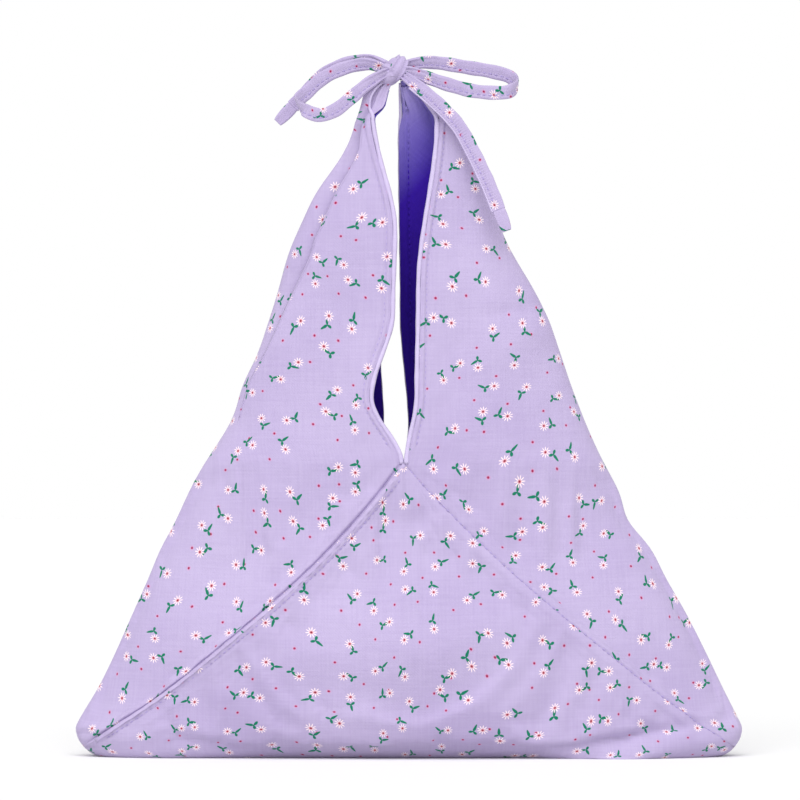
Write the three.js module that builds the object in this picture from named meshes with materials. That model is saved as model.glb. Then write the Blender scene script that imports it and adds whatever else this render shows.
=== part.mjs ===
// A tied cloth lunch bag that stands on its base. Three lined panels, left, base and right, are sewn
// round a flat foot. The side panels rise to two points with a slit between them, front and back, and
// the points run out into cloth ties that meet in a bow.
// Millimetres: X to the right as seen from the front, Y to the back, Z up, with the origin on the
// floor under the middle of the base.
import * as THREE from 'three';

// Body
const BASE_WIDTH = 330; // across the two lower corners
const BODY_DEPTH = 76; // front to back, just above the base
const BASE_ROLL = 15; // height over which the walls roll under into the base
const BASE_TUCK = 11; // how far the flat base lies in from the walls
const CORNER_HEIGHT = 8; // lower corner of each side panel
const NECK_HEIGHT = 320; // top of the side panels
const NECK_WIDTH = 50; // across the outer edges of the two necks
const NECK_DEPTH = 16; // front to back at the necks
const DEPTH_TAPER = 1.5; // power of the height: above 1, the body keeps its depth low down
const WAIST_DRAW = 6; // how far the sides draw in above the filling
const WAIST_HEIGHT = 168; // where they draw in most
const WAIST_SPAN = 40; // height over which the draw fades

// Slits and seams
const SLIT_FOOT_HEIGHT = 147; // where the slits begin
const SLIT_FOOT_X = -3; // the foot lies a little left of the middle
const SEAM_BOW = 10.5; // how far the base panel's seams sag towards the middle
// Finished slit edges: the share of the way from the foot to the neck, and the place in X
const SLIT_EDGES = {
  front_left: [[0, SLIT_FOOT_X], [0.19, -19], [0.44, -9], [0.67, -6.5], [1, -19.5]],
  front_right: [[0, SLIT_FOOT_X], [0.2, 2.2], [0.5, 3], [1, 12.5]],
  back_left: [[0, SLIT_FOOT_X], [0.12, -13], [0.3, -14.5], [1, -18]],
  back_right: [[0, SLIT_FOOT_X], [0.1, -1], [0.44, -5.2], [1, -6.2]],
};

// Cloth, edges and thread
const TOUCH = 0.3; // clearance where two pieces touch
const OUTER_CLOTH = 0.8; // printed cloth
const LINING_CLOTH = 0.7; // plain cloth inside it
const BINDING_WIDTH = 2.4; // across the rolled edge of a slit
const LAP_WIDTH = 3; // folded edge where the base panel laps over its neighbour
const LAP_OVERHANG = 0.8; // the part of it past the seam
const LAP_THICKNESS = 0.8;
const LAP_STITCH_INSET = 3.2; // from the seam to the row of stitches beside the lap
const EDGE_STITCH_INSET = 2.6; // from a panel's slit edge to its row of stitches
const THREAD_RADIUS = 0.35;

// Bow
const KNOT_X = -7;
const KNOT_RISE = 24; // centre of the knot above the necks
const KNOT_RADIUS = 6.3;
const KNOT_DEPTH = 10; // front to back
const KNOT_SHOULDER = 2; // rounding at its front and back
const TIE_WIDTH = 7;
const TIE_THICKNESS = 1.6;
const LEFT_ROOT_WIDTH = 6; // gathered end of the left panel, at the neck
const RIGHT_ROOT_WIDTH = 20; // gathered end of the right panel, at the neck
const ROOT_THICKNESS = 2;
const LOOP_SEAT = 3.4; // how far in front of and behind the middle the loops leave the knot
const LOOP_SPREAD = 7; // the same half-way along a loop
const TAIL_LEAN = 0.15; // how far a tail leans out from the bag for each millimetre from the knot
const HEM_LENGTH = 11; // folded end of a tail
const HEM_EXTRA = 0.8; // how much wider and thicker it is than the tie
const TIE_STITCH_INSET = 1.2; // from a tie's edge to its stitches
const TIE_STITCH_MARGIN = 0.07; // share of a tie left unstitched at each end

// Routes of the ties, as places in X and Z from the middle of the knot
const ROOT_BENDS = { left: [-8.5, -10], right: [12.5, -11] };
const LOOP_ROUTES = {
  left: [
    [-6, 1.4], [-13, 3.4], [-21, 3], [-30, 0.2], [-38, -4.3], [-44.5, -10.3], [-49.3, -15.2],
    [-46.5, -19.6], [-38.5, -22.6], [-30.5, -20.2], [-22, -13.5], [-13.8, -6.5], [-6.3, -1.8],
  ],
  right: [
    [6, 3], [13, 4.3], [22, 4.2], [36, 2], [48, 0], [57, -2.6], [60.6, -7.4],
    [56, -11], [48, -11.4], [37.5, -10.3], [27, -7.6], [16.5, -3.9], [6.5, -0.5],
  ],
};
const TAIL_ROUTES = {
  left: [[-2, 1.5], [-12, 5.2], [-21, 5], [-30, 2.2], [-38, -2.6], [-45, -10], [-52, -17.2]],
  right: [[3, -1.5], [9.5, -7], [16.5, -13], [24, -19.9], [31.5, -28.5], [36.5, -37.2], [46, -57], [51.3, -70.5]],
};
// The direction that a tie's width follows, in X and Z
const LOOP_AXES = { left: [-0.4, 0.9], right: [0.1, 1] };
const TAIL_AXES = { left: [-0.3, 0.95], right: [0.78, 0.6] };

// Mesh fineness
const WELD = 0.001; // points nearer than this are one
const PANEL_COLUMNS = 16;
const SEAM_ROWS = 10;
const SEAM_CROWDING = 1.5; // above 1, rows draw together near the lower corners
const SLIT_ROWS = 14;
const ROLL_ROWS = 3;
const BASE_ROWS = 4;
const THREAD_SIDES = 5;
const BINDING_SIDES = 8;
const KNOT_SIDES = 24;
const LOOP_STEPS = 36;
const TAIL_STEPS = 16;
const ROOT_STEPS = 6;

const LILAC = 0xcfc0e6;
const LINING_LILAC = 0x9b8ccf;
const THREAD_LILAC = 0xbba9de;

const { lerp, clamp, smoothstep } = THREE.MathUtils;
const UP = new THREE.Vector3(0, 0, 1);
const group = new THREE.Group();

function addPiece(name, geometry, color, roughness) {
  const material = new THREE.MeshStandardMaterial({ color, roughness, metalness: 0 });
  const mesh = new THREE.Mesh(geometry, material);
  mesh.name = name;
  group.add(mesh);
}

// Half the width and depth of the bag's outer skin at a height
function bagSection(height) {
  const rise = clamp((height - BASE_ROLL) / (NECK_HEIGHT - BASE_ROLL), 0, 1);
  const unrolled = clamp(1 - height / BASE_ROLL, 0, 1);
  const tuck = BASE_TUCK * (1 - Math.sqrt(1 - unrolled ** 2));
  const waist = WAIST_DRAW * Math.exp(-(((height - WAIST_HEIGHT) / WAIST_SPAN) ** 2));
  return {
    halfWidth: lerp(BASE_WIDTH, NECK_WIDTH, rise) / 2 - waist - tuck,
    halfDepth: lerp(BODY_DEPTH, NECK_DEPTH, rise ** DEPTH_TAPER) / 2 - tuck,
  };
}

// A point of the outer skin. Angle 0 is the right side, a quarter turn the front, a half turn the left.
function skinPoint(angle, height) {
  const { halfWidth, halfDepth } = bagSection(height);
  return new THREE.Vector3(halfWidth * Math.cos(angle), -halfDepth * Math.sin(angle), height);
}

// The same point with the direction that faces out of the bag
function skin(angle, height) {
  const point = skinPoint(angle, height);
  if (height === 0) return { point, out: UP.clone().negate() };
  const step = 0.01;
  const rise = Math.min(step, height);
  const round = skinPoint(angle + step, height).sub(skinPoint(angle - step, height));
  const climb = skinPoint(angle, height + rise).sub(skinPoint(angle, height - rise));
  return { point, out: climb.cross(round).normalize() };
}

// The angle at which the front of the bag has a given X, moved on round the bag by a distance
function frontAngle(x, height, onward = 0) {
  const { halfWidth, halfDepth } = bagSection(height);
  const angle = Math.acos(clamp(x / halfWidth, -1, 1));
  const pace = Math.hypot(halfWidth * Math.sin(angle), halfDepth * Math.cos(angle));
  return clamp(angle + onward / pace, 0, Math.PI);
}

// Place in X of a seam of the base panel: share 0 is the slit's foot, share 1 the lower corner
function seamX(side, share) {
  const corner = side * bagSection(CORNER_HEIGHT).halfWidth;
  return lerp(SLIT_FOOT_X, corner, share) - side * SEAM_BOW * 4 * share * (1 - share);
}

function seamHeight(share) {
  return lerp(SLIT_FOOT_HEIGHT, CORNER_HEIGHT, share);
}

// Place in X of a finished slit edge: share 0 is the slit's foot, share 1 the neck
function slitX(edge, share) {
  const knots = SLIT_EDGES[edge];
  const last = knots.findIndex(([reach]) => reach >= share);
  const [endShare, endX] = knots[last];
  const [startShare, startX] = knots[Math.max(last - 1, 0)];
  return lerp(startX, endX, smoothstep(share, startShare, endShare));
}

function slitHeight(share) {
  return lerp(SLIT_FOOT_HEIGHT, NECK_HEIGHT, share);
}

// Closes a list of points and triangles into a geometry whose faces point out
function closeGeometry(points, faces) {
  const volume = faces.reduce((sum, [a, b, c]) => {
    return sum + points[a].dot(points[b].clone().cross(points[c]));
  }, 0);
  const outward = volume < 0 ? faces.map(([a, b, c]) => [a, c, b]) : faces;
  const geometry = new THREE.BufferGeometry().setFromPoints(points);
  geometry.setIndex(outward.flat());
  geometry.computeVertexNormals();
  return geometry;
}

// Cloth between two depths below a grid of skin points. Points that meet are welded first.
function clothGeometry(rows, fromDepth, toDepth) {
  const known = new Map();
  const welded = [];
  const grid = rows.map((row) => row.map(({ point, out }) => {
    const place = point.toArray().map((value) => Math.round(value / WELD)).join();
    if (!known.has(place)) {
      known.set(place, welded.length);
      welded.push({ point, out: new THREE.Vector3() });
    }
    welded[known.get(place)].out.add(out);
    return known.get(place);
  }));
  const sheet = [];
  for (let row = 1; row < grid.length; row += 1) {
    for (let column = 1; column < grid[row].length; column += 1) {
      const [a, b] = [grid[row - 1][column - 1], grid[row - 1][column]];
      const [c, d] = [grid[row][column], grid[row][column - 1]];
      sheet.push([a, b, c], [a, c, d]);
    }
  }
  const front = sheet.filter((face) => new Set(face).size === 3);
  const count = welded.length;
  const layers = [fromDepth, toDepth].map((depth) => welded.map(({ point, out }) => {
    return point.clone().addScaledVector(out.normalize(), -depth);
  }));
  const back = front.map(([a, b, c]) => [a + count, c + count, b + count]);
  const edges = front.flatMap(([a, b, c]) => [[a, b], [b, c], [c, a]]);
  const paired = new Set(edges.map(([a, b]) => `${b} ${a}`));
  const rims = edges.filter(([a, b]) => !paired.has(`${a} ${b}`));
  const rim = rims.flatMap(([a, b]) => [[b, a, a + count], [b, a + count, b + count]]);
  return closeGeometry(layers.flat(), [...front, ...back, ...rim]);
}

// A bar along stations, each with a centre and the directions of the section's two sides
function sweepGeometry(stations, sectionAt) {
  const rings = stations.map(({ centre, across, out }, index) => {
    return sectionAt(index / (stations.length - 1)).map(([side, lift]) => {
      return centre.clone().addScaledVector(across, side).addScaledVector(out, lift);
    });
  });
  const sides = rings[0].length;
  const faces = [];
  for (let ring = 1; ring < rings.length; ring += 1) {
    for (let side = 0; side < sides; side += 1) {
      const next = (side + 1) % sides;
      const [low, high] = [(ring - 1) * sides, ring * sides];
      faces.push([low + side, low + next, high + next], [low + side, high + next, high + side]);
    }
  }
  const top = (rings.length - 1) * sides;
  for (let side = 2; side < sides; side += 1) {
    faces.push([0, side, side - 1], [top, top + side - 1, top + side]);
  }
  return closeGeometry(rings.flat(), faces);
}

function boxSection(fromSide, toSide, fromLift, toLift) {
  return [[fromSide, fromLift], [toSide, fromLift], [toSide, toLift], [fromSide, toLift]];
}

function roundSection(side, lift, radius, count) {
  return Array.from({ length: count }, (_, index) => {
    const turn = (index / count) * 2 * Math.PI;
    return [side + radius * Math.cos(turn), lift + radius * Math.sin(turn)];
  });
}

const threadSection = (side, lift) => roundSection(side, lift, THREAD_RADIUS, THREAD_SIDES);

// Turns skin points along a line into stations: across runs over the skin, square to the line
function skinStations(line) {
  return line.map(({ point, out }, index) => {
    const before = line[Math.max(index - 1, 0)].point;
    const after = line[Math.min(index + 1, line.length - 1)].point;
    const along = after.clone().sub(before).normalize();
    return { centre: point, across: out.clone().cross(along).normalize(), out };
  });
}

const shares = (count, from = 0) => Array.from({ length: count + 1 - from }, (_, i) => (i + from) / count);
const seamShares = shares(SEAM_ROWS).map((share) => 1 - share ** SEAM_CROWDING);
const slitShares = shares(SLIT_ROWS, 1);
const rimInset = BINDING_WIDTH + TOUCH;
const liningDepth = OUTER_CLOTH + TOUCH;
const stackDepth = liningDepth + LINING_CLOTH;

// Rows of a side panel from its lower corner to its neck, each from the front edge round to the back
function sidePanelRows(side) {
  const name = side < 0 ? 'left' : 'right';
  const outerAngle = side < 0 ? Math.PI : 0;
  const tip = skin(outerAngle, CORNER_HEIGHT + 2 * TOUCH);
  const rowBetween = (height, frontX, backX, inset) => {
    const front = frontAngle(frontX, height, -side * inset);
    const back = 2 * outerAngle - frontAngle(backX, height, -side * inset);
    return shares(PANEL_COLUMNS).map((share) => skin(lerp(front, back, share), height));
  };
  const seamRows = seamShares.slice(1).map((share) => {
    return rowBetween(seamHeight(share), seamX(side, share), seamX(side, share), TOUCH);
  });
  const slitRows = slitShares.map((share) => {
    const [frontX, backX] = [slitX(`front_${name}`, share), slitX(`back_${name}`, share)];
    return rowBetween(slitHeight(share), frontX, backX, rimInset);
  });
  return [shares(PANEL_COLUMNS).map(() => tip), ...seamRows, ...slitRows];
}

// Rows of the base panel from its front point, under the bag, to its back point
function basePanelRows() {
  const frontRow = (height, leftAngle, rightAngle) => {
    return shares(PANEL_COLUMNS).map((share) => [lerp(leftAngle, rightAngle, share), height]);
  };
  const pointAngle = frontAngle(SLIT_FOOT_X, SLIT_FOOT_HEIGHT);
  const point = frontRow(SLIT_FOOT_HEIGHT - 3 * TOUCH, pointAngle, pointAngle);
  const walls = seamShares.slice(0, -1).reverse().map((share) => {
    const height = seamHeight(share);
    const left = frontAngle(seamX(-1, share), height, -TOUCH);
    const right = frontAngle(seamX(1, share), height, TOUCH);
    return share < 1 ? frontRow(height, left, right) : frontRow(height, Math.PI, 0);
  });
  const cornerTurn = Math.acos(1 - CORNER_HEIGHT / BASE_ROLL);
  const rolls = shares(ROLL_ROWS).reverse().slice(1).map((share) => {
    return frontRow(BASE_ROLL * (1 - Math.cos(cornerTurn * share)), Math.PI, 0);
  });
  const half = [point, ...walls, ...rolls];
  const front = half.map((row) => row.map(([angle, height]) => skin(angle, height)));
  const back = half.map((row) => row.map(([angle, height]) => skin(-angle, height))).reverse();
  const under = shares(BASE_ROWS, 1).slice(0, -1).map((share) => {
    return front.at(-1).map(({ point: start, out }, column) => {
      return { point: start.clone().lerp(back[0][column].point, share), out };
    });
  });
  return [...front, ...under, ...back];
}

// Panels and their lining
const panels = { base: basePanelRows(), left: sidePanelRows(-1), right: sidePanelRows(1) };
Object.entries(panels).forEach(([name, rows]) => {
  addPiece(`outer_${name}_panel`, clothGeometry(rows, 0, OUTER_CLOTH), LILAC, 0.9);
  addPiece(`lining_${name}_panel`, clothGeometry(rows, liningDepth, stackDepth), LINING_LILAC, 0.9);
});

// Rolled slit edges and the stitches beside them
const faces = { front: 1, back: -1 };
const sides = { left: -1, right: 1 };
Object.entries(faces).forEach(([face, turn]) => {
  Object.entries(sides).forEach(([name, side]) => {
    const edge = `${face}_${name}`;
    const lineAt = (inset) => slitShares.map((share) => {
      const height = slitHeight(share);
      return skin(turn * frontAngle(slitX(edge, share), height, -side * inset), height);
    });
    const radius = BINDING_WIDTH / 2;
    const bead = roundSection(side * turn * (TOUCH + radius), -stackDepth / 2, radius, BINDING_SIDES);
    const binding = skinStations(lineAt(rimInset));
    addPiece(`${edge}_edge_binding`, sweepGeometry(binding, () => bead), LINING_LILAC, 0.85);
    const stitches = skinStations(lineAt(rimInset + EDGE_STITCH_INSET));
    const thread = threadSection(0, TOUCH + THREAD_RADIUS);
    addPiece(`${edge}_edge_stitching`, sweepGeometry(stitches, () => thread), THREAD_LILAC, 0.7);
  });
});

// Seams of the base panel: one of each pair is lapped, the other is flat, and the back is turned about
const seamLine = seamShares.slice(1, -1);
Object.entries(faces).forEach(([face, turn]) => {
  const lineOf = (side) => skinStations(seamLine.map((share) => {
    const height = seamHeight(share);
    return skin(turn * frontAngle(seamX(side, share), height), height);
  }));
  const lapSide = -turn;
  const lift = TOUCH + THREAD_RADIUS;
  const flat = threadSection(0, lift);
  addPiece(`${face}_flat_stitching`, sweepGeometry(lineOf(-lapSide), () => flat), THREAD_LILAC, 0.7);
  const lapped = lineOf(lapSide);
  const baseward = -Math.sign(lapped[0].across.z);
  const [pastSeam, onBase] = [-baseward * LAP_OVERHANG, baseward * (LAP_WIDTH - LAP_OVERHANG)];
  const fold = boxSection(pastSeam, onBase, TOUCH, TOUCH + LAP_THICKNESS);
  addPiece(`${face}_lap_edge`, sweepGeometry(lapped, () => fold), LILAC, 0.9);
  const beside = threadSection(baseward * LAP_STITCH_INSET, lift);
  addPiece(`${face}_lap_stitching`, sweepGeometry(lapped, () => beside), THREAD_LILAC, 0.7);
});

// Bow: every place is given from the middle of the knot
const knotCentre = new THREE.Vector3(KNOT_X, 0, NECK_HEIGHT + KNOT_RISE);
const fromKnot = (x, y, z) => new THREE.Vector3(x, y, z).add(knotCentre);
const knotHalf = KNOT_DEPTH / 2;
const knotProfile = [
  [0, -knotHalf],
  [KNOT_RADIUS - KNOT_SHOULDER, -knotHalf],
  [KNOT_RADIUS, KNOT_SHOULDER - knotHalf],
  [KNOT_RADIUS, knotHalf - KNOT_SHOULDER],
  [KNOT_RADIUS - KNOT_SHOULDER, knotHalf],
  [0, knotHalf],
].map(([radius, depth]) => new THREE.Vector2(radius, depth));
const knot = new THREE.LatheGeometry(knotProfile, KNOT_SIDES);
knot.translate(...knotCentre.toArray());
addPiece('bow_knot', knot, LILAC, 0.9);

// A point on the knot's side, clear of it by the touch, in the direction of a place beside it
function knotSeat(x, z, depth) {
  const reach = (KNOT_RADIUS + TOUCH) / Math.hypot(x, z);
  return fromKnot(x * reach, depth, z * reach);
}

// Stations along a tie, whose width lies as near to an axis as its route allows
function tieStations(route, [axisX, axisZ], steps) {
  const axis = new THREE.Vector3(axisX, 0, axisZ);
  const curve = new THREE.CatmullRomCurve3(route, false, 'centripetal');
  return shares(steps).map((share) => {
    const along = curve.getTangentAt(share);
    const across = axis.clone().addScaledVector(along, -axis.dot(along)).normalize();
    return { centre: curve.getPointAt(share), across, out: across.clone().cross(along), along };
  });
}

function tieSection(width, thickness) {
  return boxSection(-width / 2, width / 2, -thickness / 2, thickness / 2);
}

function addTie(name, stations, stitchSide) {
  const section = tieSection(TIE_WIDTH, TIE_THICKNESS);
  addPiece(name, sweepGeometry(stations, () => section), LILAC, 0.9);
  const skipped = Math.ceil(TIE_STITCH_MARGIN * stations.length);
  const lift = stitchSide * (TIE_THICKNESS / 2 + TOUCH + THREAD_RADIUS);
  const thread = threadSection(TIE_STITCH_INSET - TIE_WIDTH / 2, lift);
  const stitched = stations.slice(skipped, -skipped);
  addPiece(`${name}_stitching`, sweepGeometry(stitched, () => thread), THREAD_LILAC, 0.7);
}

// Gathered ends of the side panels, from the necks up to the knot
const footLift = TOUCH - KNOT_RISE;
const rootWidths = { left: LEFT_ROOT_WIDTH, right: RIGHT_ROOT_WIDTH };
Object.entries(sides).forEach(([name, side]) => {
  const width = rootWidths[name];
  const bend = ROOT_BENDS[name];
  const footX = (side * (NECK_WIDTH - width)) / 2 - KNOT_X;
  const foot = fromKnot(footX, 0, footLift);
  const upright = fromKnot(footX, 0, lerp(footLift, bend[1], 1 / 3));
  const route = [foot, upright, fromKnot(bend[0], 0, bend[1]), knotSeat(...bend, 0)];
  const section = (share) => tieSection(lerp(width, TIE_WIDTH, Math.sqrt(share)), ROOT_THICKNESS);
  addPiece(`${name}_tie_root`, sweepGeometry(tieStations(route, [1, 0], ROOT_STEPS), section), LILAC, 0.9);
});

// Loops: out from the back of the knot's side, round the far end and in again at its front
Object.entries(LOOP_ROUTES).forEach(([name, places]) => {
  const last = places.length - 1;
  const route = places.map(([x, z], index) => {
    const inward = Math.min(index, last - index);
    const depth = Math.sign(last / 2 - index) * (inward < 2 ? LOOP_SEAT : LOOP_SPREAD);
    return inward === 0 ? knotSeat(x, z, depth) : fromKnot(x, depth, z);
  });
  addTie(`${name}_loop`, tieStations(route, LOOP_AXES[name], LOOP_STEPS), -sides[name]);
});

// Tails: they start flat on the knot, the right one in front and the left one behind
const tailSeat = knotHalf + TOUCH + TIE_THICKNESS / 2;
Object.entries(TAIL_ROUTES).forEach(([name, places]) => {
  const route = places.map(([x, z]) => {
    return fromKnot(x, -sides[name] * (tailSeat + TAIL_LEAN * Math.hypot(x, z)), z);
  });
  const stations = tieStations(route, TAIL_AXES[name], TAIL_STEPS);
  addTie(`${name}_tail`, stations, -1);
  const end = stations.at(-1);
  const hem = [TOUCH, TOUCH + HEM_LENGTH].map((reach) => {
    return { ...end, centre: end.centre.clone().addScaledVector(end.along, reach) };
  });
  const section = tieSection(TIE_WIDTH + HEM_EXTRA, TIE_THICKNESS + HEM_EXTRA);
  addPiece(`${name}_tail_hem`, sweepGeometry(hem, () => section), LILAC, 0.9);
});

export default group;
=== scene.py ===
import math
import bmesh
import bpy
import mathutils
import numpy as np
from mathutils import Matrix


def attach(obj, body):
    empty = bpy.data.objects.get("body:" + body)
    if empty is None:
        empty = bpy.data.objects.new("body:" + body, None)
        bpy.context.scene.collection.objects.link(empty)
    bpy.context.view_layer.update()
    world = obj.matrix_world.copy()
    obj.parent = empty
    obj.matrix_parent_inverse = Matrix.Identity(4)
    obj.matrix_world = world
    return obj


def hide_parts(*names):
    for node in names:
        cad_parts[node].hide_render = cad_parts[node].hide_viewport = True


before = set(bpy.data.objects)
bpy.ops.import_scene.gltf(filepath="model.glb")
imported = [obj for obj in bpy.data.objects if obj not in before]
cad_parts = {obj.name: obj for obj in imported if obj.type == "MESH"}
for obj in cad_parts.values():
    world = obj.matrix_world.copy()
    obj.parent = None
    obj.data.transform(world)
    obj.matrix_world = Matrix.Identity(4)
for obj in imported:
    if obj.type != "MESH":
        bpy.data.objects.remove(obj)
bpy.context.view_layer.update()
metre = 0.001  # sizes below are in millimetres, meshes in metres
tau = 2 * math.pi


def linear(hexColour):  # sRGB hex to the linear colour that shaders take
    parts = [int(hexColour[i:i + 2], 16) / 255 for i in (1, 3, 5)]
    return [c / 12.92 if c <= 0.04045 else ((c + 0.055) / 1.055) ** 2.4 for c in parts] + [1]


def addNode(tree, kind, inputs, **settings):  # gives the new node's outputs
    node = tree.nodes.new("ShaderNode" + kind)
    for name, value in settings.items():
        setattr(node, name, value)
    for key, value in inputs.items():
        if isinstance(value, bpy.types.NodeSocket):
            tree.links.new(value, node.inputs[key])
        else:
            node.inputs[key].default_value = value
    return node.outputs


def newMaterial(name, finish):
    material = bpy.data.materials.new(name)
    material.use_nodes = True
    shader = material.node_tree.nodes["Principled BSDF"]
    for socket, value in finish.items():
        shader.inputs[socket].default_value = value
    return material, material.node_tree, shader


# Plain-woven cotton: matt, with the faint streaks of uneven yarn and a soft bloom at the edges.
# The yarns are 0.3 mm apart in the real cloth and drawn at 0.7 mm, so that they show at all.
weave = {"yarn": 0.7, "streakLength": 26, "streakWidth": 0.9, "cloud": 60, "depth": 0.00012,
         "crumple": 15, "crumpleDepth": 0.0009, "roughness": (0.82, 0.95)}


def weaveCloth(tree, shader, flat, light, deep):
    streaks = []
    far, near = weave["streakLength"], weave["streakWidth"]
    for along, across in ((far, near), (near, far)):
        drawn = addNode(tree, "VectorMath", {0: flat, 1: (1 / along, 1 / across, 0)}, operation="MULTIPLY")[0]
        noise = addNode(tree, "TexNoise", {"Vector": drawn, "Scale": 1, "Detail": 2}, noise_dimensions="2D")
        streaks.append(noise[0])
    streak = addNode(tree, "Math", {0: streaks[0], 1: streaks[1]}, operation="ADD")[0]
    clouds = {"Vector": flat, "Scale": 1 / weave["cloud"], "Detail": 3}
    cloudy = addNode(tree, "TexNoise", clouds, noise_dimensions="2D")[0]
    tone = addNode(tree, "Math", {0: streak, 1: 0.5, 2: cloudy}, operation="MULTIPLY_ADD")[0]
    share = addNode(tree, "MapRange", {0: tone, 1: 0.7, 2: 1.3})[0]
    ground = addNode(tree, "Mix", {0: share, 6: linear(light), 7: linear(deep)}, data_type="RGBA")[2]
    turns = addNode(tree, "VectorMath", {0: flat, "Scale": tau / weave["yarn"] / 2}, operation="SCALE")[0]
    waves = addNode(tree, "VectorMath", {0: turns}, operation="SINE")[0]
    yarns = addNode(tree, "SeparateXYZ", {0: waves})
    over = addNode(tree, "Math", {0: yarns[0], 1: yarns[1]}, operation="MULTIPLY")[0]
    height = addNode(tree, "Math", {0: over, 1: 0.35, 2: streak}, operation="MULTIPLY_ADD")[0]
    crumples = {"Vector": flat, "Scale": 1 / weave["crumple"], "Detail": 3, "Roughness": 0.45}
    crumple = addNode(tree, "TexNoise", crumples, noise_dimensions="2D")[0]
    soft = addNode(tree, "Bump", {"Height": crumple, "Strength": 1.0, "Distance": weave["crumpleDepth"]})[0]
    fine = {"Height": height, "Strength": 0.5, "Distance": weave["depth"], "Normal": soft}
    tree.links.new(addNode(tree, "Bump", fine)[0], shader.inputs["Normal"])
    least, most = weave["roughness"]
    rough = addNode(tree, "MapRange", {0: streak, 1: 0.6, 2: 1.4, 3: least, 4: most})[0]
    tree.links.new(rough, shader.inputs["Roughness"])
    return ground


# A small scattered flower print: daisy, sprig and dot, each turned its own way
flowerPrint = {
    "repeat": 16.8, "scatter": 0.6, "drift": 6, "driftLength": 60, "dotScatter": 0.7,
    "daisy": 5.1, "petals": 10, "eye": 1.05, "heart": 1.7, "daisyAt": 1.8, "sprigAt": -2.4, "leaf": 2.5,
    "stem": 1.7, "stemNarrow": 60, "dot": 1.1, "halo": 1.6, "soft": 0.16,
    "colours": {"halo": "#CC94BA", "dot": "#941042", "sprig": "#0A7156", "daisy": "#F0DDE0",
                "heart": "#E0A0AC", "eye": "#821830"},  # each printed over the one before it
}


def printFlowers(tree, flat, ground):
    p = flowerPrint
    drifts = {"Vector": flat, "Scale": 1 / p["driftLength"], "Detail": 0}
    drift = addNode(tree, "TexNoise", drifts, noise_dimensions="2D")[1]
    far = (2 * p["drift"], 2 * p["drift"], 0)
    moved = addNode(tree, "VectorMath", {0: drift, 1: far}, operation="MULTIPLY")[0]
    place = addNode(tree, "VectorMath", {0: flat, 1: moved}, operation="ADD")[0]
    scattered = {"Vector": place, "Scale": 1 / p["repeat"], "Randomness": p["scatter"]}
    cells = addNode(tree, "TexVoronoi", scattered, voronoi_dimensions="2D")
    chance = addNode(tree, "SeparateColor", {0: cells["Color"]})
    own = addNode(tree, "VectorMath", {0: place, 1: cells["Position"]}, operation="SUBTRACT")[0]
    turn = addNode(tree, "Math", {0: chance[0], 1: tau}, operation="MULTIPLY")[0]
    turned = addNode(tree, "VectorRotate", {"Vector": own, "Angle": turn}, rotation_type="Z_AXIS")[0]
    lean = addNode(tree, "Math", {0: chance[1], 1: tau}, operation="MULTIPLY")[0]
    reach = {}
    masks = {}
    forms = {  # where, turn, lobes, the part of its reach that swings, the part that stays, and a stem
        "daisy": (p["daisyAt"], 0.0, p["petals"], 0.24 * p["daisy"], 0.26 * p["daisy"], 0.0),
        "sprig": (p["sprigAt"], lean, 3, 0.4 * p["leaf"], 0.52 * p["leaf"], p["stem"]),
    }
    for name, (at, tilt, lobes, swing, stay, stem) in forms.items():
        near = addNode(tree, "VectorMath", {0: turned, 1: (at, 0, 0)}, operation="SUBTRACT")[0]
        tilted = addNode(tree, "VectorRotate", {"Vector": near, "Angle": tilt}, rotation_type="Z_AXIS")[0]
        reach[name] = addNode(tree, "VectorMath", {0: tilted}, operation="LENGTH")["Value"]
        axes = addNode(tree, "SeparateXYZ", {0: tilted})
        bearing = addNode(tree, "Math", {0: axes[1], 1: axes[0]}, operation="ARCTAN2")[0]
        lobed = addNode(tree, "Math", {0: bearing, 1: lobes}, operation="MULTIPLY")[0]
        wave = addNode(tree, "Math", {0: lobed}, operation="COSINE")[0]
        edge = addNode(tree, "Math", {0: wave, 1: swing, 2: stay}, operation="MULTIPLY_ADD")[0]
        toward = addNode(tree, "Math", {0: bearing}, operation="COSINE", use_clamp=True)[0]
        narrow = addNode(tree, "Math", {0: toward, 1: p["stemNarrow"]}, operation="POWER")[0]
        edge = addNode(tree, "Math", {0: narrow, 1: stem, 2: edge}, operation="MULTIPLY_ADD")[0]
        inside = addNode(tree, "Math", {0: edge, 1: reach[name]}, operation="SUBTRACT")[0]
        masks[name] = addNode(tree, "MapRange", {0: inside, 1: -p["soft"], 2: p["soft"]})[0]
    half = p["repeat"] / 2
    between = addNode(tree, "VectorMath", {0: place, 1: (half, half, 0)}, operation="ADD")[0]
    scattered = {"Vector": between, "Scale": 1 / p["repeat"], "Randomness": p["dotScatter"]}
    dots = addNode(tree, "TexVoronoi", scattered, voronoi_dimensions="2D")["Distance"]
    spread = addNode(tree, "Math", {0: dots, 1: p["repeat"]}, operation="MULTIPLY")[0]
    rounds = {"halo": spread, "dot": spread, "heart": reach["daisy"], "eye": reach["daisy"]}
    for name, distance in rounds.items():
        radius, fade = p[name] / 2, p["soft"] * (3 if name == "halo" else 1.4)
        masks[name] = addNode(tree, "MapRange", {0: distance, 1: radius + fade, 2: radius - fade})[0]
    colour = ground
    for name, ink in p["colours"].items():
        colour = addNode(tree, "Mix", {0: masks[name], 6: colour, 7: linear(ink)}, data_type="RGBA")[2]
    return colour


def flatPlace(tree):  # place on the flat cloth, in millimetres
    stored = addNode(tree, "Attribute", {}, attribute_name="cloth")
    return addNode(tree, "VectorMath", {0: stored["Vector"], "Scale": 1000}, operation="SCALE")[0]


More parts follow.
